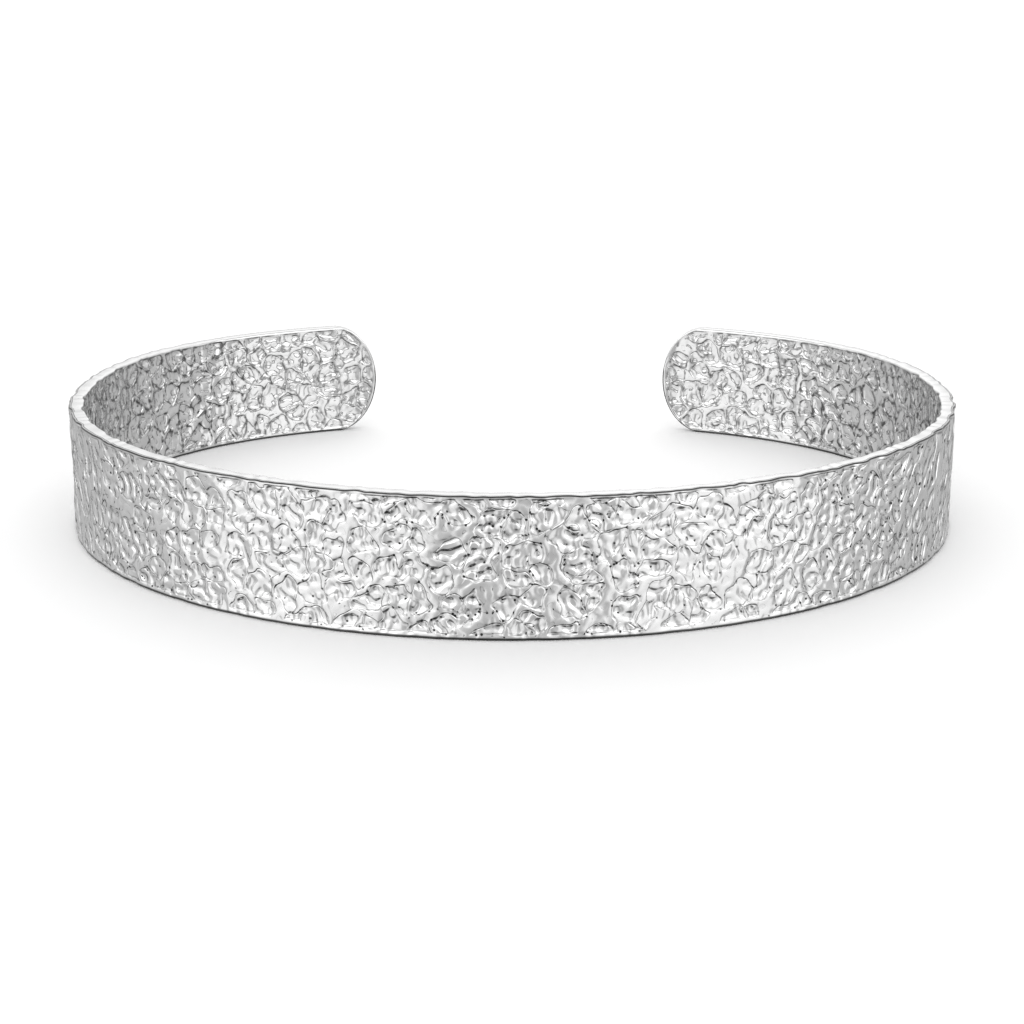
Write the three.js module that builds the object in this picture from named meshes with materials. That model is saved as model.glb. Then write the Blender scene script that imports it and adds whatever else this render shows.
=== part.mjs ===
// Open cuff bangle: one band of polished silver, bent to an oval and left open at the back.
// Millimetres, +Z up. The band stands on its lower edge at z = 0, and the origin is the middle of
// the base of its bounding box. Both faces are covered with shallow irregular hollows.
import * as THREE from "three";

// Plan of the outer face, measured from the line where the oval is widest
const halfWidth = 32;
const frontDepth = 28;
const backDepth = 24.95; // where the oval would close, if it had no opening
const backFullness = 2.29; // exponent of the back half: 2 is an ellipse, more is squarer
const leftTip = 12.22; // distance of each tip from the middle of the opening
const rightTip = 12.95;

// Section of the band
const bandHeight = 9.07;
const wall = 1.06;
const endRounding = 3.6; // length over which an end narrows to its tip

// Hollows of the relief
const hollowPitch = 2.2; // mean distance between the middles of two hollows
const hollowScatter = 0.3; // how far a middle may stray, as a share of the pitch
const hollowRadius = { least: 0.75, most: 1.25 };
const hollowDepth = { least: 0.14, most: 0.26 };
const plainShare = 0.06; // share of the places that stay without a hollow
const plainMargin = { edge: 0.3, fade: 0.45 }; // smooth border along the rim and the ends

// Grid of the faces
const columns = 186;
const rows = 14;
const rowCrowding = 0.4; // 0 spaces the rows evenly, 1 crowds them towards the rim

// Line of the outer face from the left tip, round the front, to the right tip.
class BandPlan extends THREE.Curve {
  constructor() {
    super();
    this.arcLengthDivisions = 4000;
    this.start = -BandPlan.tipAngle(leftTip);
    this.end = BandPlan.tipAngle(rightTip);
    const back = Math.max(BandPlan.place(this.start).y, BandPlan.place(this.end).y);
    this.middleY = (back - frontDepth) / 2;
  }

  // Angle from the front at which the back half of the oval is so far from the middle.
  static tipAngle(distance) {
    return Math.PI - Math.asin((distance / halfWidth) ** (backFullness / 2));
  }

  static place(angle) {
    const across = Math.sin(angle);
    const along = Math.cos(angle);
    if (along >= 0) {
      return new THREE.Vector3(halfWidth * across, -frontDepth * along, 0);
    }
    const power = 2 / backFullness;
    const x = halfWidth * Math.sign(across) * Math.abs(across) ** power;
    return new THREE.Vector3(x, backDepth * Math.abs(along) ** power, 0);
  }

  getPoint(t, target = new THREE.Vector3()) {
    const point = BandPlan.place(THREE.MathUtils.lerp(this.start, this.end, t));
    return target.set(point.x, point.y - this.middleY, 0);
  }
}

const plan = new BandPlan();
const planLength = plan.getLength();

// The same number from 0 to 1 each time for one place of the relief.
function chance(column, row, draw) {
  const value = Math.sin(column * 127.1 + row * 311.7 + draw * 74.7) * 43758.5453;
  return value - Math.floor(value);
}

// Middle, half axes, turn and depth of the hollow at one place of a face, or null for a plain one.
function hollowAt(column, row, face) {
  const draw = (number) => chance(column, row, number + 10 * face);
  if (draw(0) < plainShare) {
    return null;
  }
  const stagger = column % 2 ? 0.5 : 0;
  const { lerp } = THREE.MathUtils;
  return {
    along: (column + 0.5 + hollowScatter * (2 * draw(1) - 1)) * hollowPitch,
    up: (row + stagger + hollowScatter * (2 * draw(2) - 1)) * hollowPitch,
    longHalf: lerp(hollowRadius.least, hollowRadius.most, draw(3)),
    shortHalf: lerp(hollowRadius.least, hollowRadius.most, draw(4)),
    turn: Math.PI * draw(5),
    depth: lerp(hollowDepth.least, hollowDepth.most, draw(6)),
  };
}

// Share of a hollow's depth at one point: 1 over its floor, falling smoothly to 0 at its outline.
function hollowShare(hollow, along, up) {
  const dx = along - hollow.along;
  const dz = up - hollow.up;
  const cos = Math.cos(hollow.turn);
  const sin = Math.sin(hollow.turn);
  const reach = Math.hypot(
    (dx * cos + dz * sin) / hollow.longHalf,
    (dz * cos - dx * sin) / hollow.shortHalf,
  );
  return 1 - THREE.MathUtils.smoothstep(reach, 0.35, 1.05);
}

// Depth of the relief at a point of a face, given by its distance along the band and its height.
function reliefDepth(along, up, border, face) {
  const column = Math.floor(along / hollowPitch);
  const row = Math.floor(up / hollowPitch);
  let depth = 0;
  for (let c = column - 1; c <= column + 1; c += 1) {
    for (let r = row - 1; r <= row + 1; r += 1) {
      const hollow = hollowAt(c, r, face);
      if (hollow) {
        depth = Math.max(depth, hollow.depth * hollowShare(hollow, along, up));
      }
    }
  }
  const { edge, fade } = plainMargin;
  return depth * THREE.MathUtils.smoothstep(border, edge, edge + fade);
}

// Height of one row of the grid.
function rowHeight(row) {
  const even = (2 * row) / rows - 1;
  const crowded = Math.sin((Math.PI / 2) * even);
  return (bandHeight / 2) * (1 + THREE.MathUtils.lerp(even, crowded, rowCrowding));
}

// How far short of the tip a row stops, on the rounded outline of the ends.
function endInset(up) {
  const fromMiddle = (2 * up) / bandHeight - 1;
  return endRounding * (1 - Math.sqrt(Math.max(0, 1 - fromMiddle ** 2)));
}

// One corner of the grid on the outer face (face 0) or the inner face (face 1), with its relief.
function bandCorner(column, row, face) {
  const up = rowHeight(row);
  const inset = endInset(up);
  const along = THREE.MathUtils.lerp(inset, planLength - inset, column / columns);
  const point = plan.getPointAt(along / planLength);
  const tangent = plan.getTangentAt(along / planLength);
  const border = Math.min(up, bandHeight - up, along - inset, planLength - inset - along);
  const relief = reliefDepth(along, up, border, face);
  const inwards = face === 0 ? relief : wall - relief;
  return { place: [point.x - tangent.y * inwards, point.y + tangent.x * inwards, up], relief };
}

// The closed skin of the band: two faces, two strips of rim and two end strips.
function bandGeometry() {
  const corners = [];
  const indices = [];
  const perFace = (columns + 1) * (rows + 1);
  const at = (column, row, face) => face * perFace + column * (rows + 1) + row;

  // Splits four corners into two triangles along the diagonal that follows the relief best.
  const quad = (a, b, c, d) => {
    const step = (from, to) => Math.abs(corners[from].relief - corners[to].relief);
    if (step(a, c) <= step(b, d)) {
      indices.push(a, b, c, a, c, d);
    } else {
      indices.push(a, b, d, b, c, d);
    }
  };

  for (const face of [0, 1]) {
    for (let column = 0; column <= columns; column += 1) {
      for (let row = 0; row <= rows; row += 1) {
        corners.push(bandCorner(column, row, face));
      }
    }
  }
  for (let c = 0; c < columns; c += 1) {
    for (let r = 0; r < rows; r += 1) {
      quad(at(c, r, 0), at(c + 1, r, 0), at(c + 1, r + 1, 0), at(c, r + 1, 0));
      quad(at(c + 1, r, 1), at(c, r, 1), at(c, r + 1, 1), at(c + 1, r + 1, 1));
    }
    quad(at(c, rows, 0), at(c + 1, rows, 0), at(c + 1, rows, 1), at(c, rows, 1));
    quad(at(c + 1, 0, 0), at(c, 0, 0), at(c, 0, 1), at(c + 1, 0, 1));
  }
  for (let r = 0; r < rows; r += 1) {
    quad(at(0, r, 1), at(0, r, 0), at(0, r + 1, 0), at(0, r + 1, 1));
    quad(at(columns, r, 0), at(columns, r, 1), at(columns, r + 1, 1), at(columns, r + 1, 0));
  }

  const geometry = new THREE.BufferGeometry();
  const positions = corners.flatMap((corner) => corner.place);
  geometry.setAttribute("position", new THREE.Float32BufferAttribute(positions, 3));
  geometry.setIndex(indices);
  geometry.computeVertexNormals();
  return geometry;
}

const polishedSilver = new THREE.MeshStandardMaterial({
  name: "polished_silver",
  color: 0xd6d5d2,
  roughness: 0.12,
  metalness: 1,
});

const band = new THREE.Mesh(bandGeometry(), polishedSilver);
band.name = "cuff_band";

const bangle = new THREE.Group();
bangle.name = "bangle";
bangle.add(band);

export default bangle;
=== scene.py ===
import bpy
import math
import numpy as np
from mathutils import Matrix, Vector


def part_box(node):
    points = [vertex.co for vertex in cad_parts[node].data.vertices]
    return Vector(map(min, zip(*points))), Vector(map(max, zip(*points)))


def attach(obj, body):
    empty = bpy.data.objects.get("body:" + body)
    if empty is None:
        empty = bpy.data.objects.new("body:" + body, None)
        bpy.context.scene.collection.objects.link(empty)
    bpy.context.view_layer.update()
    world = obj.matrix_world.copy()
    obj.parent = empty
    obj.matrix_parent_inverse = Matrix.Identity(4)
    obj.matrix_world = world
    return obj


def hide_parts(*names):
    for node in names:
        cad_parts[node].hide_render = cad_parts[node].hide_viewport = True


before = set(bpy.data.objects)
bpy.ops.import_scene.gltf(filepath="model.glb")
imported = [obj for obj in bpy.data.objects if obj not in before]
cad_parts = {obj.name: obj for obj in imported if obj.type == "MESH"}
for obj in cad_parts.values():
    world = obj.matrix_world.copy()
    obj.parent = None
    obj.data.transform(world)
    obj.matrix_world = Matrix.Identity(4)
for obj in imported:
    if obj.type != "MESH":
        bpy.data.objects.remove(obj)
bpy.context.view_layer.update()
bandLow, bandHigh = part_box("cuff_band")
perMetre = 1000     # millimetres in a metre


def toLinear(hexCode):
    # sRGB hex colour to the linear colour of a socket
    channels = [int(hexCode[start:start + 2], 16) / 255 for start in (0, 2, 4)]
    return (*[c / 12.92 if c <= 0.04045 else ((c + 0.055) / 1.055) ** 2.4 for c in channels], 1)


def addNode(tree, kind, inputs, **settings):
    # a node with its settings; an input is a value, a socket, or a node whose first output is used
    node = tree.nodes.new(kind)
    for name, value in settings.items():
        setattr(node, name, value)
    for socket, value in inputs.items():
        if isinstance(value, bpy.types.Node):
            value = value.outputs[0]
        if isinstance(value, bpy.types.NodeSocket):
            tree.links.new(value, node.inputs[socket])
        else:
            node.inputs[socket].default_value = value
    return node


# all sizes of the cuff in millimetres
cuff = {
    # its line seen from above, and where its two ends stop to either side of the middle
    "halfWidth": 32, "frontDepth": 28, "backDepth": 24.95, "backFullness": 2.29,
    "leftTip": 12.22, "rightTip": 12.95, "planPoints": 20001,
    "height": (bandHigh[2] - bandLow[2]) * perMetre, "wall": 1.06,
    "endRounding": 3.6,             # how far the rounded ends draw in at their corners
    "edgeRadius": 0.14,             # the rims turn over softly
    # faces along the strip and up it, and how far in from the rims the first rows stand
    "columns": 850, "rows": 54, "edgeRows": (0, 0.015, 0.05, 0.1, 0.16, 0.25),
    # the hammer's main dents
    "hollows": {"pitch": 2.2, "scatter": 0.3, "radius": (0.75, 1.25), "depth": (0.14, 0.26),
                "plainShare": 0.06, "flat": 0.35, "end": 1.05, "reach": 1.2,
                "strength": 0.25, "rimStrength": 0.45},
    # small sunk cells with bays, below a smooth web
    "cells": {"size": 1.75, "irregular": 0.75, "soft": 0.25, "radius": (0.8, 1.2), "web": 0.04,
              "round": 0.32, "warpPeriod": 1.5, "warp": 0.45, "bayPeriod": 1.25, "bayFineness": 1.4,
              "bays": 0.85, "depth": 0.1, "lip": (-0.28, 0.1), "groove": 0.03, "grooveWidth": 0.1,
              "groovePlace": -0.05},
    # little curls and drops inside the cells
    "curls": {"period": 0.8, "fineness": 1.5, "shift": (31, 7, 0), "depth": 0.14, "range": (0.28, 0.66),
              "fade": (-0.15, 0.05), "onWeb": 0.38, "shaped": 0.4},
    "swell": {"period": 2.6, "depth": 0.05},        # slow waves over all
    # the inner face reads another part of the pattern, with rounder cells and fainter curls
    "inner": {"amount": 1.05, "start": 20, "curls": 0.47, "bays": 0.7},
    # calmer next to the rims, and plain round the tips
    "rim": {"calm": 0.85, "start": 0.05, "end": 0.3, "tipEnd": 0.5, "waves": (0.1, 0.8),
            "finish": (0.02, 0.12)},
    # the cells stop short of the lower rim, the upper rim and the tips
    "plainBorder": (0.38, 0.2, 0.35),
    # where the cells lean and draw out, by distance from the middle of the front
    "ridges": {"start": (26, 37), "end": (50, 58), "lean": 0.5, "stretch": 0.5},
    "tip": (6, 15),                 # where the tips' plainer finish ends, by distance from the tip
    # darker lines inside, a little less at the tips, and lighter ones on the bright shoulders: painted
    # shade on the inner face and painted light on the shoulders, which mirror the bright panels
    "tarnishAndShade": {"inner": 1.4, "tips": 0.35, "shoulders": 0.4, "from": (5, 9), "to": (18, 24)},
    # the rims' dark line, a painted shade, is wider low down and inside, and the inner face has none
    # high up
    "edgeLine": {"low": 1, "lowScale": 0.48, "innerScale": 0.8, "innerEnd": (5, 8)},
    # the top rim is a little uneven
    "topWaves": {"periods": (2.1, 1.3), "drift": 7.3, "depth": 0.05, "reach": 0.4},
}


def planPoints(count):
    # the outer face seen from above, from the left tip round the front to the right tip
    def tipAngle(distance):
        return math.pi - math.asin((distance / cuff["halfWidth"]) ** (cuff["backFullness"] / 2))
    angle = np.linspace(-tipAngle(cuff["leftTip"]), tipAngle(cuff["rightTip"]), count)
    across, forward = np.sin(angle), np.cos(angle)
    power = np.where(forward >= 0, 1, 2 / cuff["backFullness"])
    reach = np.where(forward >= 0, cuff["frontDepth"], cuff["backDepth"])
    x = cuff["halfWidth"] * np.sign(across) * np.abs(across) ** power
    y = -np.sign(forward) * reach * np.abs(forward) ** power
    return np.column_stack([x, y - (y.max() + y.min()) / 2])


plan = planPoints(cuff["planPoints"])
planDistance = np.concatenate([[0], np.cumsum(np.hypot(*np.diff(plan, axis=0).T))])
planLength = planDistance[-1]


def readPlaces(piece):
    places = np.empty(len(piece.data.vertices) * 3)
    piece.data.vertices.foreach_get("co", places)
    return places.reshape(-1, 3)


def writePlaces(piece, places):
    piece.data.vertices.foreach_set("co", places.ravel())
    piece.data.update()


def storeValues(piece, name, values):
    # a number for each point, or a vector for each where the values have columns
    kind, field = ("FLOAT_VECTOR", "vector") if values.ndim == 2 else ("FLOAT", "value")
    attribute = piece.data.attributes.new(name, kind, "POINT")
    attribute.data.foreach_set(field, values.astype(float).ravel())


def smoothStep(value, low, high):
    t = np.clip((value - low) / (high - low), 0, 1)
    return t * t * (3 - 2 * t)


def endInset(up):
    fromMiddle = 2 * up / cuff["height"] - 1
    return cuff["endRounding"] * (1 - np.sqrt(np.maximum(0, 1 - fromMiddle ** 2)))


def spread(index, count, length):
    # rows crowded at both edges and even between them
    near = np.array(cuff["edgeRows"])
    last = len(near) - 1
    even = near[-1] + (length - 2 * near[-1]) * (index - last) / (count - 2 * last)
    place = np.where(index < last, near[np.clip(index, 0, last)], even)
    return np.where(index > count - last, length - near[np.clip(count - index, 0, last)], place)


def makeStrip():
    # the flat strip with its round ends: x along it, y through its wall, z up
    columns, rows = cuff["columns"], cuff["rows"]
    bpy.ops.object.select_all(action="DESELECT")
    bpy.ops.mesh.primitive_grid_add(x_subdivisions=columns, y_subdivisions=rows, size=1,
                                    rotation=(math.pi / 2, 0, 0))
    band = bpy.context.object
    band.name = band.data.name = "hammered_cuff"
    bpy.ops.object.transform_apply(rotation=True)
    places = readPlaces(band)
    column = np.round((places[:, 0] + 0.5) * columns).astype(int)
    row = np.round((places[:, 2] + 0.5) * rows).astype(int)
    up = spread(row, rows, cuff["height"])
    inset = endInset(up)
    along = inset + spread(column, columns, planLength - 2 * inset)
    writePlaces(band, np.column_stack([along, 0 * along, up]))
    wall = band.modifiers.new("Wall", "SOLIDIFY")
    wall.thickness = cuff["wall"]
    wall.offset = -1
    bpy.ops.object.modifier_apply(modifier=wall.name)
    print("strip laid out,", round(planLength, 2), "mm long")
    return band


# the same chances as the solid's, so that the hollows fall in the same places
chanceMix = {"column": 127.1, "row": 311.7, "draw": 74.7, "scale": 43758.5453}


def chance(column, row, draw):
    mixed = column * chanceMix["column"] + row * chanceMix["row"] + draw * chanceMix["draw"]
    value = math.sin(mixed) * chanceMix["scale"]
    return value - math.floor(value)


def mainHollows(along, up, face):
    # the main dents, in the same places as on the solid
    hollows = cuff["hollows"]
    pitch, scatter = hollows["pitch"], hollows["scatter"]
    depth = np.zeros(len(along))
    for column in range(-1, int(planLength / pitch) + 2):
        near = np.nonzero(np.abs(along - (column + 0.5) * pitch) < hollows["reach"] * pitch)[0]
        for row in range(-1, int(cuff["height"] / pitch) + 2):
            draws = [chance(column, row, number + 10 * face) for number in range(7)]
            if draws[0] < hollows["plainShare"]:
                continue
            middleAlong = (column + 0.5 + scatter * (2 * draws[1] - 1)) * pitch
            middleUp = (row + (0.5 if column % 2 else 0) + scatter * (2 * draws[2] - 1)) * pitch
            longHalf, shortHalf = np.interp(draws[3:5], (0, 1), hollows["radius"])
            turn = math.pi * draws[5]
            deep = np.interp(draws[6], (0, 1), hollows["depth"])
            dx, dz = along[near] - middleAlong, up[near] - middleUp
            reach = np.hypot((dx * math.cos(turn) + dz * math.sin(turn)) / longHalf,
                             (dz * math.cos(turn) - dx * math.sin(turn)) / shortHalf)
            share = 1 - smoothStep(reach, hollows["flat"], hollows["end"])
            depth[near] = np.maximum(depth[near], deep * share)
    return depth


def cellEdge(tree, place, inner):
    # millimetres past the outline of the cells, below 0 inside one
    cells = cuff["cells"]
    size, warp, irregular = cells["size"], cells["warp"], cells["irregular"]
    noise = addNode(tree, "ShaderNodeTexNoise",
                    {"Vector": place, "Scale": 1 / cells["warpPeriod"], "Detail": 0.0},
                    noise_dimensions="2D")
    push = addNode(tree, "ShaderNodeVectorMath",
                   {0: noise.outputs["Color"], 1: [2 * warp] * 3, 2: [-warp] * 3},
                   operation="MULTIPLY_ADD")
    warped = addNode(tree, "ShaderNodeVectorMath", {0: place, 1: push}, operation="ADD")
    middle = addNode(tree, "ShaderNodeTexVoronoi",
                     {"Vector": warped, "Scale": 1 / size, "Smoothness": cells["soft"],
                      "Randomness": irregular},
                     voronoi_dimensions="2D", feature="SMOOTH_F1")
    draw = addNode(tree, "ShaderNodeSeparateXYZ", {0: middle.outputs["Color"]})
    least, most = cells["radius"]
    radius = addNode(tree, "ShaderNodeMapRange", {"Value": draw, "To Min": -least, "To Max": -most})
    disc = addNode(tree, "ShaderNodeMath", {0: middle, 1: size, 2: radius}, operation="MULTIPLY_ADD")
    between = addNode(tree, "ShaderNodeTexVoronoi",
                      {"Vector": warped, "Scale": 1 / size, "Randomness": irregular},
                      voronoi_dimensions="2D", feature="DISTANCE_TO_EDGE")
    web = addNode(tree, "ShaderNodeMath", {0: between, 1: -size, 2: cells["web"]},
                  operation="MULTIPLY_ADD")
    outline = addNode(tree, "ShaderNodeMath", {0: disc, 1: web, 2: cells["round"]},
                      operation="SMOOTH_MAX")
    wave = addNode(tree, "ShaderNodeTexGabor",
                   {"Vector": place, "Scale": 1 / cells["bayPeriod"] / cells["bayFineness"],
                    "Frequency": cells["bayFineness"], "Anisotropy": 0.0}, gabor_type="2D")
    bays = addNode(tree, "ShaderNodeMath", {0: wave, 1: cells["bays"], 2: -cells["bays"] / 2},
                   operation="MULTIPLY_ADD")
    share = addNode(tree, "ShaderNodeMapRange",
                    {"Value": inner, "To Min": 1.0, "To Max": cuff["inner"]["bays"]})
    outline = addNode(tree, "ShaderNodeMath", {0: bays, 1: share, 2: outline}, operation="MULTIPLY_ADD")
    # the cells close before the plain border
    fromBorder = addNode(tree, "ShaderNodeSeparateXYZ", {0: place}).outputs["Z"]
    border = addNode(tree, "ShaderNodeMath", {0: fromBorder, 1: -1.0}, operation="MULTIPLY")
    return addNode(tree, "ShaderNodeMath", {0: outline, 1: border, 2: cells["round"] / 2},
                   operation="SMOOTH_MAX")


def curlRelief(tree, place, edge, inner):
    # the curls' waves, how much they show, and how deep they are
    curls = cuff["curls"]
    moved = addNode(tree, "ShaderNodeVectorMath", {0: place, 1: curls["shift"]}, operation="ADD")
    wave = addNode(tree, "ShaderNodeTexGabor",
                   {"Vector": moved, "Scale": 1 / curls["period"] / curls["fineness"],
                    "Frequency": curls["fineness"], "Anisotropy": 0.0}, gabor_type="2D")
    low, high = curls["fade"]
    shown = addNode(tree, "ShaderNodeMapRange",
                    {"Value": edge, "From Min": low, "From Max": high,
                     "To Min": 1.0, "To Max": curls["onWeb"]}, interpolation_type="SMOOTHSTEP")
    share = addNode(tree, "ShaderNodeMapRange",
                    {"Value": inner, "To Min": 1.0, "To Max": cuff["inner"]["curls"]})
    shown = addNode(tree, "ShaderNodeMath", {0: shown, 1: share}, operation="MULTIPLY")
    low, high = curls["range"]
    sunk = addNode(tree, "ShaderNodeMapRange",
                   {"Value": wave, "From Min": low, "From Max": high,
                    "To Min": curls["depth"], "To Max": 0.0}, interpolation_type="SMOOTHSTEP")
    return wave, shown, addNode(tree, "ShaderNodeMath", {0: sunk, 1: shown}, operation="MULTIPLY")


def reliefGroup():
    # how deep the mesh is struck at each point, from its place on the strip
    cells, swell = cuff["cells"], cuff["swell"]
    tree = bpy.data.node_groups.new("hammered_relief", "GeometryNodeTree")
    tree.interface.new_socket("Geometry", in_out="INPUT", socket_type="NodeSocketGeometry")
    tree.interface.new_socket("Geometry", in_out="OUTPUT", socket_type="NodeSocketGeometry")
    mesh = addNode(tree, "NodeGroupInput", {})
    place, inner = [
        addNode(tree, "GeometryNodeInputNamedAttribute", {"Name": name}, data_type=kind)
        for name, kind in (("stripPlace", "FLOAT_VECTOR"), ("innerShare", "FLOAT"))]
    edge = cellEdge(tree, place, inner)
    low, high = cells["lip"]
    sunk = addNode(tree, "ShaderNodeMapRange",
                   {"Value": edge, "From Min": low, "From Max": high,
                    "To Min": cells["depth"], "To Max": 0.0}, interpolation_type="SMOOTHSTEP")
    curl = curlRelief(tree, place, edge, inner)[2]
    struck = addNode(tree, "ShaderNodeMath", {0: curl, 1: cuff["curls"]["shaped"], 2: sunk},
                     operation="MULTIPLY_ADD")
    noise = addNode(tree, "ShaderNodeTexNoise",
                    {"Vector": place, "Scale": 1 / swell["period"], "Detail": 0.0},
                    noise_dimensions="2D")
    slow = addNode(tree, "ShaderNodeMath", {0: noise, 1: 2 * swell["depth"], 2: -swell["depth"]},
                   operation="MULTIPLY_ADD")
    depth = addNode(tree, "ShaderNodeMath", {0: struck, 1: slow}, operation="ADD")
    stored = addNode(tree, "GeometryNodeStoreNamedAttribute",
                     {"Geometry": mesh, "Name": "reliefDepth", "Value": depth},
                     data_type="FLOAT", domain="POINT")
    addNode(tree, "NodeGroupOutput", {0: stored})
    return tree


def readRelief(band, along, up, inside, fromTip):
    # lays the pattern out on the strip, and reads back how deep it strikes each point
    inner, ridges = cuff["inner"], cuff["ridges"]
    lower, upper, tips = cuff["plainBorder"]
    fromBorder = np.minimum(np.minimum(up - lower, cuff["height"] - up - upper), fromTip - tips)
    # at the sides of the outer face the cells lean and draw out into ridges
    fromMiddle = along - planLength / 2
    share = smoothStep(np.abs(fromMiddle), *ridges["start"])
    share *= 1 - smoothStep(np.abs(fromMiddle), *ridges["end"])
    aside = (up - cuff["height"] / 2) * share * (1 - inside)
    patternAlong = along - np.sign(fromMiddle) * ridges["lean"] * aside
    patternUp = up + inner["start"] * inside - ridges["stretch"] * aside
    storeValues(band, "stripPlace", np.column_stack([patternAlong, patternUp, fromBorder]))
    storeValues(band, "innerShare", inside)
    modifier = band.modifiers.new("Relief", "NODES")
    modifier.node_group = reliefGroup()
    bpy.ops.object.modifier_apply(modifier=modifier.name)
    relief = np.empty(len(along))
    band.data.attributes["reliefDepth"].data.foreach_get("value", relief)
    return relief


def topWave(along):
    # slow uneven waves along the top rim, from 0 to 1
    topWaves = cuff["topWaves"]
    drift = np.sin(2 * math.pi * along / topWaves["drift"]) / 2
    waves = [np.sin(2 * math.pi * (along / period + drift)) for period in topWaves["periods"]]
    return sum(waves) / (2 * len(waves)) + 0.5


def storeFinishAndShade(band, along, up, inside, border, quiet, tipShare):
    # for the finish and the painted shade: where the fine relief is, how far the rims are, and how dark
    # the tarnish and painted shade lines are
    edgeLine, tarnishAndShade = cuff["edgeLine"], cuff["tarnishAndShade"]
    amount = np.where(inside, cuff["inner"]["amount"], 1)
    storeValues(band, "onFace", quiet * smoothStep(border, *cuff["rim"]["finish"]) * amount)
    scale = np.where(up < edgeLine["low"], edgeLine["lowScale"],
                     np.where(inside, edgeLine["innerScale"], 1))
    storeValues(band, "edgeAway", scale * border + inside * smoothStep(up, *edgeLine["innerEnd"]))
    fromMiddle = np.abs(along - planLength / 2)
    shoulder = smoothStep(fromMiddle, *tarnishAndShade["from"]) * (1 - smoothStep(fromMiddle, *tarnishAndShade["to"]))
    storeValues(band, "tarnishAndShade", np.where(inside, tarnishAndShade["inner"] - tarnishAndShade["tips"] * tipShare,
                                          1 - tarnishAndShade["shoulders"] * shoulder))


def hammer(band):
    wall, radius, rim, hollows, inner, topWaves = [
        cuff[name] for name in ("wall", "edgeRadius", "rim", "hollows", "inner", "topWaves")]
    along, through, up = readPlaces(band).T
    inside = through > wall / 2
    inset = endInset(up)
    fromTip = np.minimum(along - inset, planLength - inset - along)
    fromTop = cuff["height"] - up
    border = np.minimum(np.minimum(up, fromTop), fromTip)
    relief = readRelief(band, along, up, inside, fromTip)
    dents = np.zeros(len(along))
    for face in (0, 1):
        mine = inside == face
        dents[mine] = mainHollows(along[mine], up[mine], face)
    # the relief fades out at the rims, and the main hollows come out more along the top one
    tipShare = 1 - smoothStep(fromTip, *cuff["tip"])
    calmEnd = rim["end"] + (rim["tipEnd"] - rim["end"]) * tipShare
    calm = rim["calm"] + (1 - rim["calm"]) * tipShare
    quiet = 1 - calm * (1 - smoothStep(border, rim["start"], calmEnd))
    topRim = (1 - tipShare) * (1 - smoothStep(fromTop, *rim["waves"]))
    strength = hollows["strength"] + hollows["rimStrength"] * topRim
    strength *= 1 - tipShare * (1 - smoothStep(border, rim["start"], rim["tipEnd"]))
    edgeDrop = radius - np.sqrt(np.maximum(0, radius ** 2 - (radius - np.minimum(border, radius)) ** 2))
    depth = edgeDrop + dents * strength + relief * np.where(inside, inner["amount"], 1) * quiet
    topShare = (1 - smoothStep(fromTop, 0, topWaves["reach"])) * (1 - tipShare)
    height = up - topWaves["depth"] * topWave(along) * topShare
    writePlaces(band, np.column_stack([along, np.where(inside, wall - depth, depth), height]))
    storeFinishAndShade(band, along, up, inside, border, quiet, tipShare)
    print("strip hammered, deepest", round(float(depth.max()), 2), "mm")


def bend(band):
    # the strip follows the cuff's line, and its wall goes inwards from it
    along, inwards, up = readPlaces(band).T
    tangent = np.gradient(plan, planDistance, axis=0)
    x, y, tx, ty = [np.interp(along, planDistance, values) for values in (*plan.T, *tangent.T)]
    writePlaces(band, np.column_stack([x - ty * inwards, y + tx * inwards, up]) / perMetre)
    bpy.ops.object.mode_set(mode="EDIT")
    bpy.ops.mesh.select_all(action="SELECT")
    bpy.ops.mesh.normals_make_consistent(inside=False)
    bpy.ops.object.mode_set(mode="OBJECT")
    bpy.ops.object.shade_smooth()
    print("cuff bent,", len(band.data.loops) - 2 * len(band.data.polygons), "triangles")


silver = {
    # the darker colour is tarnish together with painted shade
    "bright": "e0e0e0", "darkTarnishAndShade": "303030", "roughness": 0.1,
    # dark lines round the cells and the curls, partly tarnish and partly painted shade: half widths on
    # the outer and the inner face
    "cellLine": {"level": -0.02, "width": (0.07, 0.2)},
    "curlLine": {"level": 0.42, "width": (0.038, 0.09)},
    "line": {"range": (0.05, 1.1), "strength": 0.62},
    "breaks": {"period": 0.5, "range": (0.42, 0.66), "least": 0.15},
    # black dots close to the lines: painted shade for dark reflections where the grooves run deep, in
    # colour alone
    "dots": {"spacing": 0.46, "radius": (0.05, 0.11), "range": (1, 2), "strength": 1.6},
    # painted shade in the curls' hollows
    "hollowShade": {"range": (0.34, 0.46), "strength": 0.1},
    # painted shade along the rims
    "rimLine": {"start": (0, 0.02), "end": (0.07, 0.13), "strength": 0.95},
}


def awayFrom(tree, value, line, inner):
    # how far a pattern is from a line of it, 1 at the line's edge
    outerWidth, innerWidth = line["width"]
    width = addNode(tree, "ShaderNodeMapRange",
                    {"Value": inner, "To Min": outerWidth, "To Max": innerWidth})
    away = addNode(tree, "ShaderNodeMath", {0: value, 1: line["level"]}, operation="SUBTRACT")
    away = addNode(tree, "ShaderNodeMath", {0: away}, operation="ABSOLUTE")
    return addNode(tree, "ShaderNodeMath", {0: away, 1: width}, operation="DIVIDE")


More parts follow.
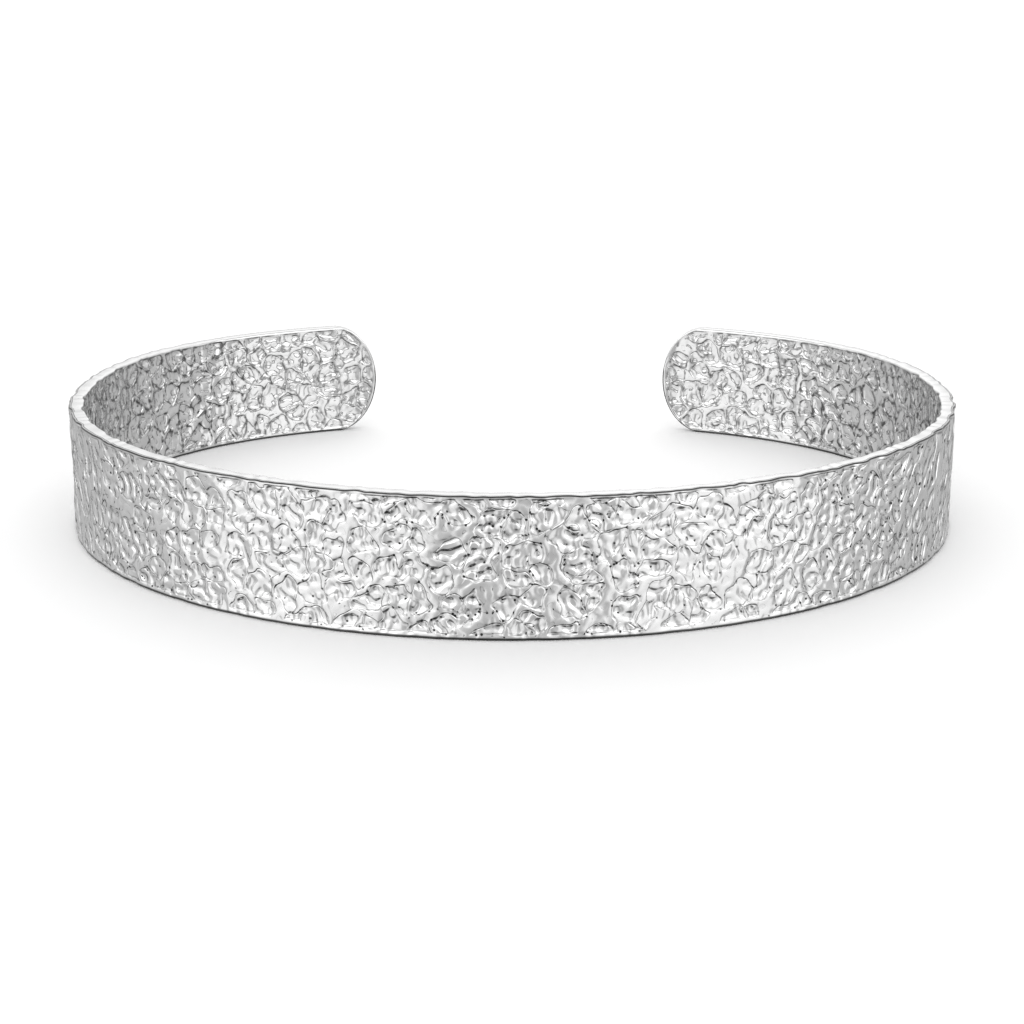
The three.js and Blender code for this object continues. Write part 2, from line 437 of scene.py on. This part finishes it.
def strikeBump(tree, edge, curl, onFace):
    # a crisp groove inside each cell's outline, and the finer part of the curls
    cells = cuff["cells"]
    groove = addNode(tree, "ShaderNodeMath", {0: edge, 1: cells["groovePlace"]}, operation="SUBTRACT")
    groove = addNode(tree, "ShaderNodeMath", {0: groove}, operation="ABSOLUTE")
    groove = addNode(tree, "ShaderNodeMapRange",
                     {"Value": groove, "From Min": 0.0, "From Max": cells["grooveWidth"],
                      "To Min": cells["groove"], "To Max": 0.0}, interpolation_type="SMOOTHSTEP")
    depth = addNode(tree, "ShaderNodeMath", {0: curl, 1: 1 - cuff["curls"]["shaped"], 2: groove},
                    operation="MULTIPLY_ADD")
    depth = addNode(tree, "ShaderNodeMath", {0: depth, 1: onFace}, operation="MULTIPLY")
    return addNode(tree, "ShaderNodeBump",
                   {"Height": depth, "Strength": 1.0, "Distance": 1 / perMetre}, invert=True)


def brokenLines(tree, place, edge, wave, shown, inner):
    # dark lines, partly tarnish and partly painted shade, thinner on the web and broken here and there
    curlAway = awayFrom(tree, wave, silver["curlLine"], inner)
    curlAway = addNode(tree, "ShaderNodeMath", {0: curlAway, 1: shown}, operation="DIVIDE")
    cellAway = awayFrom(tree, edge, silver["cellLine"], inner)
    away = addNode(tree, "ShaderNodeMath", {0: cellAway, 1: curlAway}, operation="MINIMUM")
    low, high = silver["line"]["range"]
    line = addNode(tree, "ShaderNodeMapRange",
                   {"Value": away, "From Min": low, "From Max": high,
                    "To Min": silver["line"]["strength"], "To Max": 0.0},
                   interpolation_type="SMOOTHSTEP")
    breaks = silver["breaks"]
    noise = addNode(tree, "ShaderNodeTexNoise",
                    {"Vector": place, "Scale": 1 / breaks["period"], "Detail": 1.0},
                    noise_dimensions="2D")
    low, high = breaks["range"]
    whole = addNode(tree, "ShaderNodeMapRange",
                    {"Value": noise, "From Min": low, "From Max": high,
                     "To Min": breaks["least"], "To Max": 1.0}, interpolation_type="SMOOTHSTEP")
    line = addNode(tree, "ShaderNodeMath", {0: line, 1: whole}, operation="MULTIPLY")
    dot = blackDots(tree, place, away, whole, inner)
    return addNode(tree, "ShaderNodeMath", {0: line, 1: dot}, operation="MAXIMUM")


def blackDots(tree, place, away, whole, inner):
    # painted shade dots close to the unbroken lines, on the outer face alone
    dots = silver["dots"]
    middle = addNode(tree, "ShaderNodeTexVoronoi", {"Vector": place, "Scale": 1 / dots["spacing"]},
                     voronoi_dimensions="2D")
    low, high = [radius / dots["spacing"] for radius in dots["radius"]]
    dot = addNode(tree, "ShaderNodeMapRange",
                  {"Value": middle, "From Min": low, "From Max": high,
                   "To Min": dots["strength"], "To Max": 0.0}, interpolation_type="SMOOTHSTEP")
    low, high = dots["range"]
    onLine = addNode(tree, "ShaderNodeMapRange",
                     {"Value": away, "From Min": low, "From Max": high, "To Min": 1.0, "To Max": 0.0},
                     interpolation_type="SMOOTHSTEP")
    onLine = addNode(tree, "ShaderNodeMath", {0: onLine, 1: whole}, operation="MULTIPLY")
    onLine = addNode(tree, "ShaderNodeMath", {0: onLine, 1: inner}, operation="SUBTRACT", use_clamp=True)
    return addNode(tree, "ShaderNodeMath", {0: dot, 1: onLine}, operation="MULTIPLY")


def rimLine(tree, edgeAway):
    # a thin dark line along the rims: painted shade for the dark reflection of the turned-over edges
    low, high = silver["rimLine"]["start"]
    start = addNode(tree, "ShaderNodeMapRange", {"Value": edgeAway, "From Min": low, "From Max": high},
                    interpolation_type="SMOOTHSTEP")
    low, high = silver["rimLine"]["end"]
    end = addNode(tree, "ShaderNodeMapRange",
                  {"Value": edgeAway, "From Min": low, "From Max": high,
                   "To Min": silver["rimLine"]["strength"], "To Max": 0.0},
                  interpolation_type="SMOOTHSTEP")
    return addNode(tree, "ShaderNodeMath", {0: start, 1: end}, operation="MULTIPLY")


def polishedSilver():
    # sterling silver, hammered and then polished bright: a hard mirror broken by the dents
    # into pale greys and small white lights, with darker lines in the grooves, partly tarnish and partly
    # painted shade for dark reflections in the steep groove walls
    material = bpy.data.materials.new("polished_hammered_silver")
    material.use_nodes = True
    tree = material.node_tree
    shader = tree.nodes["Principled BSDF"]
    shader.inputs["Metallic"].default_value = 1
    shader.inputs["Roughness"].default_value = silver["roughness"]
    place, onFace, inner, edgeAway, tarnishAndShade = [
        addNode(tree, "ShaderNodeAttribute", {}, attribute_name=name).outputs[output]
        for name, output in (("stripPlace", "Vector"), ("onFace", "Fac"), ("innerShare", "Fac"),
                             ("edgeAway", "Fac"), ("tarnishAndShade", "Fac"))]
    edge = cellEdge(tree, place, inner)
    wave, shown, curl = curlRelief(tree, place, edge, inner)
    bump = strikeBump(tree, edge, curl, onFace)
    tree.links.new(bump.outputs[0], shader.inputs["Normal"])
    # the lines (partly tarnish, partly painted shade), a light painted shade in the curls' hollows, and
    # the painted shade line along the rims
    line = brokenLines(tree, place, edge, wave, shown, inner)
    low, high = silver["hollowShade"]["range"]
    shade = addNode(tree, "ShaderNodeMapRange",
                    {"Value": wave, "From Min": low, "From Max": high,
                     "To Min": silver["hollowShade"]["strength"], "To Max": 0.0},
                    interpolation_type="SMOOTHSTEP")
    shade = addNode(tree, "ShaderNodeMath", {0: shade, 1: shown}, operation="MULTIPLY")
    dark = addNode(tree, "ShaderNodeMath", {0: line, 1: shade}, operation="MAXIMUM")
    dark = addNode(tree, "ShaderNodeMath", {0: dark, 1: onFace}, operation="MULTIPLY")
    # painted shade and painted light: the lines are darker on the inner face and lighter on the bright
    # shoulders
    dark = addNode(tree, "ShaderNodeMath", {0: dark, 1: tarnishAndShade}, operation="MULTIPLY")
    dark = addNode(tree, "ShaderNodeMath", {0: dark, 1: rimLine(tree, edgeAway)}, operation="MAXIMUM")
    colour = addNode(tree, "ShaderNodeMix",
                     {"Factor": dark, "A": toLinear(silver["bright"]),
                      "B": toLinear(silver["darkTarnishAndShade"])}, data_type="RGBA")
    tree.links.new(colour.outputs["Result"], shader.inputs["Base Color"])
    return material


band = makeStrip()
hammer(band)
bend(band)
band.data.materials.append(polishedSilver())
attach(band, "root")
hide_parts("cuff_band")
print("silver polished")


studio = {
    "paperSize": 6, "paper": "f2f2f2", "paperRoughness": 0.9,
    "mirrored": 1.25,       # strength of the light that the silver mirrors
    "plain": 1.112,         # and of the plain white round it
    # the paper is lit mostly from above and behind, so its shadow falls forwards
    "fromBack": 0.48, "sides": 1.2, "sidesEven": 0.3,
    # the mirrored light by height, from straight down at 0 to straight up at 1
    "levels": ((0, 0.02), (0.06, 0.1), (0.12, 0.46), (0.3, 0.55), (0.42, 0.6), (0.5, 0.65),
               (0.66, 1), (0.88, 1), (0.93, 0.5), (1, 0.42)),
    # degrees round from the front: a dimmer middle, two brighter panels, dimmer sides, and the back
    "frontEnd": (8, 26), "front": 0.885,
    "panel": 1.66, "panelStart": (4, 38), "panelEnd": (65, 80),
    "sideStart": (95, 135), "side": 0.8, "backStart": (156, 174),
    "rightSideStart": (60, 90), "rightSide": 0.93, "rightBackStart": (115, 150), "rightBack": 1.15,
}


def whitePaper():
    # matt white paper, which shows nothing but the soft shadow
    material = bpy.data.materials.new("matt_white_paper")
    material.use_nodes = True
    shader = material.node_tree.nodes["Principled BSDF"]
    shader.inputs["Base Color"].default_value = toLinear(studio["paper"])
    shader.inputs["Roughness"].default_value = studio["paperRoughness"]
    return material


def layPaper():
    bpy.ops.object.select_all(action="DESELECT")
    bpy.ops.mesh.primitive_plane_add(size=studio["paperSize"])
    paper = bpy.context.object
    paper.name = "studio_floor"
    paper.data.materials.append(whitePaper())
    paper.visible_glossy = False        # the silver mirrors the dimmer sky below it instead
    print("paper laid")


def lightStudio():
    world = bpy.data.worlds.new("studio")
    bpy.context.scene.world = world
    world.use_nodes = True
    tree = world.node_tree
    tree.nodes.clear()
    direction = addNode(tree, "ShaderNodeTexCoord", {}).outputs["Generated"]
    axes = addNode(tree, "ShaderNodeSeparateXYZ", {0: direction})
    height = addNode(tree, "ShaderNodeMapRange",
                     {"Value": axes.outputs["Z"], "From Min": -1.0, "From Max": 1.0})
    levels = addNode(tree, "ShaderNodeValToRGB", {0: height})
    steps = levels.color_ramp.elements
    while len(steps) < len(studio["levels"]):
        steps.new(0.5)
    for step, (position, level) in zip(steps, studio["levels"]):
        step.position = position
        step.color = (level, level, level, 1)
    forward = addNode(tree, "ShaderNodeMath", {0: axes.outputs["Y"], 1: -1.0}, operation="MULTIPLY")
    turn = addNode(tree, "ShaderNodeMath", {0: axes.outputs["X"], 1: forward}, operation="ARCTAN2")
    eitherWay = addNode(tree, "ShaderNodeMath", {0: turn}, operation="ABSOLUTE")
    part = {}
    for name, angle, first, last in (("frontEnd", eitherWay, studio["front"], 1.0),
                                     ("panelStart", eitherWay, 0.0, 1.0),
                                     ("panelEnd", eitherWay, 1.0, 0.0),
                                     ("sideStart", eitherWay, 0.0, 1.0),
                                     ("backStart", eitherWay, studio["side"], 1.0),
                                     ("rightSideStart", turn, 1.0, studio["rightSide"]),
                                     ("rightBackStart", turn, 1.0, studio["rightBack"])):
        start, end = [math.radians(limit) for limit in studio[name]]
        part[name] = addNode(tree, "ShaderNodeMapRange",
                             {"Value": angle, "From Min": start, "From Max": end,
                              "To Min": first, "To Max": last}, interpolation_type="SMOOTHSTEP")
    panel = addNode(tree, "ShaderNodeMath", {0: part["panelStart"], 1: part["panelEnd"]},
                    operation="MULTIPLY")
    panel = addNode(tree, "ShaderNodeMapRange",
                    {"Value": panel, "To Min": 1.0, "To Max": studio["panel"]})
    rear = addNode(tree, "ShaderNodeMix", {0: part["sideStart"], 2: 1.0, 3: part["backStart"]},
                   data_type="FLOAT")
    light = addNode(tree, "ShaderNodeMath", {0: levels, 1: panel}, operation="MULTIPLY")
    light = addNode(tree, "ShaderNodeMath", {0: light, 1: rear}, operation="MULTIPLY")
    for name in ("frontEnd", "rightSideStart", "rightBackStart"):
        light = addNode(tree, "ShaderNodeMath", {0: light, 1: part[name]}, operation="MULTIPLY")
    mirrored = addNode(tree, "ShaderNodeBackground", {"Color": light, "Strength": studio["mirrored"]})
    # the floor is lit more from above and behind, and less from the sides
    rays = addNode(tree, "ShaderNodeLightPath", {})
    side = addNode(tree, "ShaderNodeMath", {0: axes.outputs["X"], 1: axes.outputs["X"]},
                   operation="MULTIPLY")
    side = addNode(tree, "ShaderNodeMath", {0: side, 1: -studio["sides"], 2: studio["sidesEven"]},
                   operation="MULTIPLY_ADD")
    uneven = addNode(tree, "ShaderNodeMath", {0: axes.outputs["Y"], 1: studio["fromBack"], 2: side},
                     operation="MULTIPLY_ADD")
    uneven = addNode(tree, "ShaderNodeMath", {0: uneven, 1: rays.outputs["Is Diffuse Ray"]},
                     operation="MULTIPLY")
    strength = addNode(tree, "ShaderNodeMath", {0: uneven, 1: studio["plain"], 2: studio["plain"]},
                       operation="MULTIPLY_ADD")
    plain = addNode(tree, "ShaderNodeBackground", {"Color": (1, 1, 1, 1), "Strength": strength})
    white = addNode(tree, "ShaderNodeMath",
                    {0: rays.outputs["Is Camera Ray"], 1: rays.outputs["Is Diffuse Ray"]},
                    operation="MAXIMUM")
    mix = addNode(tree, "ShaderNodeMixShader", {0: white, 1: mirrored, 2: plain})
    addNode(tree, "ShaderNodeOutputWorld", {0: mix})
    print("studio lit")


view = {
    "place": (0.00141, -0.12879, 0.04002),      # metres
    "down": 0.2458, "turn": 0.618,              # radians below the level, degrees to the left
    "lens": 64.26, "sensor": 36,                # millimetres
    "shift": -0.0977,                           # share of the frame's width
    "nearest": 0.001,                           # metres
}


def placeCamera():
    data = bpy.data.cameras.new("camera")
    data.lens = view["lens"]
    data.sensor_width = view["sensor"]
    data.shift_y = view["shift"]
    data.clip_start = view["nearest"]
    camera = bpy.data.objects.new("camera", data)
    camera.location = view["place"]
    camera.rotation_euler = (math.pi / 2 - view["down"], 0, math.radians(view["turn"]))
    bpy.context.collection.objects.link(camera)
    bpy.context.scene.camera = camera
    print("camera placed")


layPaper()
lightStudio()
placeCamera()
bpy.context.scene.view_settings.view_transform = "Standard"
bpy.context.scene.view_settings.look = "None"
